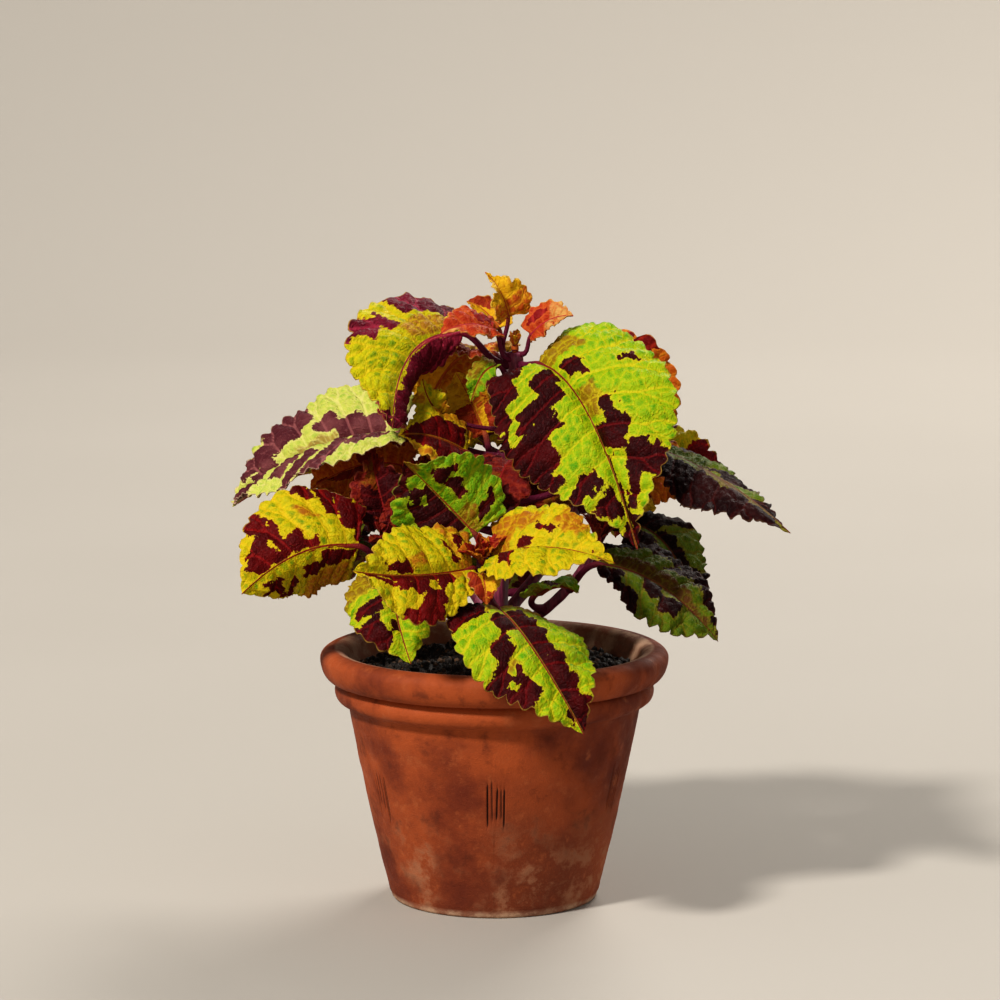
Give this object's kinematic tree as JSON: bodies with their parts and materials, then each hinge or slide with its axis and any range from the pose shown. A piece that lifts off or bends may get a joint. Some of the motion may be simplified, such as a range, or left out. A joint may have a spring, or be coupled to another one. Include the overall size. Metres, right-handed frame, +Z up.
{
  "type": "potted coleus",
  "caption": "Potted coleus with scalloped leaves in yellow-green, red and dark maroon, growing from soil in a tapered terracotta pot with a rolled rim.",
  "frame": {"origin": "middle of the pot's foot, on the surface that it stands on, under the pot's axis", "axes": "+Z up along the pot's axis; -Y is the front, where the pictured view looks from; +X to the right of that view"},
  "size_m": [0.2432, 0.2105, 0.2752],
  "materials": {
    "terracotta": "unglazed fired clay, matt and slightly mottled",
    "soil": "dark crumbly potting soil",
    "stem": "smooth purple stem with a slight gloss",
    "leaf": "quilted leaf, yellow-green with maroon patches, soft sheen",
    "young_leaf": "young leaf, orange-red with yellow edges, soft sheen"
  },
  "bodies": {
    "root": {"leaf_back_left": "leaf", "leaf_back_left_low": "leaf", "leaf_back_left_out": "leaf", "leaf_back_low": "leaf", "leaf_back_right": "leaf", "leaf_back_right_low": "leaf", "leaf_back_right_out": "leaf", "leaf_crown_back": "leaf", "leaf_crown_back_right": "leaf", "leaf_crown_left": "leaf", "leaf_crown_right": "leaf", "leaf_front_down": "leaf", "leaf_front_left": "leaf", "leaf_front_right": "leaf", "leaf_front_small": "leaf", "leaf_front_up": "leaf", "leaf_inner_back": "leaf", "leaf_inner_front": "leaf", "leaf_inner_high": "leaf", "leaf_inner_left": "leaf", "leaf_inner_low": "leaf", "leaf_inner_middle": "leaf", "leaf_inner_red_left": "leaf", "leaf_inner_red_right": "leaf", "leaf_inner_small": "leaf", "leaf_left_back": "leaf", "leaf_left_low": "leaf", "leaf_left_out": "leaf", "leaf_left_under": "leaf", "leaf_left_up": "leaf", "leaf_right_back": "leaf", "leaf_right_back_low": "leaf", "leaf_right_inner": "leaf", "leaf_right_low": "leaf", "leaf_right_up": "leaf", "leaf_second_back": "leaf", "leaf_second_left": "leaf", "leaf_second_right": "leaf", "leaf_third_back": "leaf", "leaf_top_back": "young_leaf", "leaf_top_left": "young_leaf", "leaf_top_right": "young_leaf", "leaf_top_up": "young_leaf", "pot": "terracotta", "shoot_back_left": "young_leaf", "shoot_back_right": "young_leaf", "shoot_front": "young_leaf", "shoot_left": "young_leaf", "shoot_right": "young_leaf", "shoot_top": "young_leaf", "soil": "soil", "stem": "stem"}
  },
  "joints": []
}
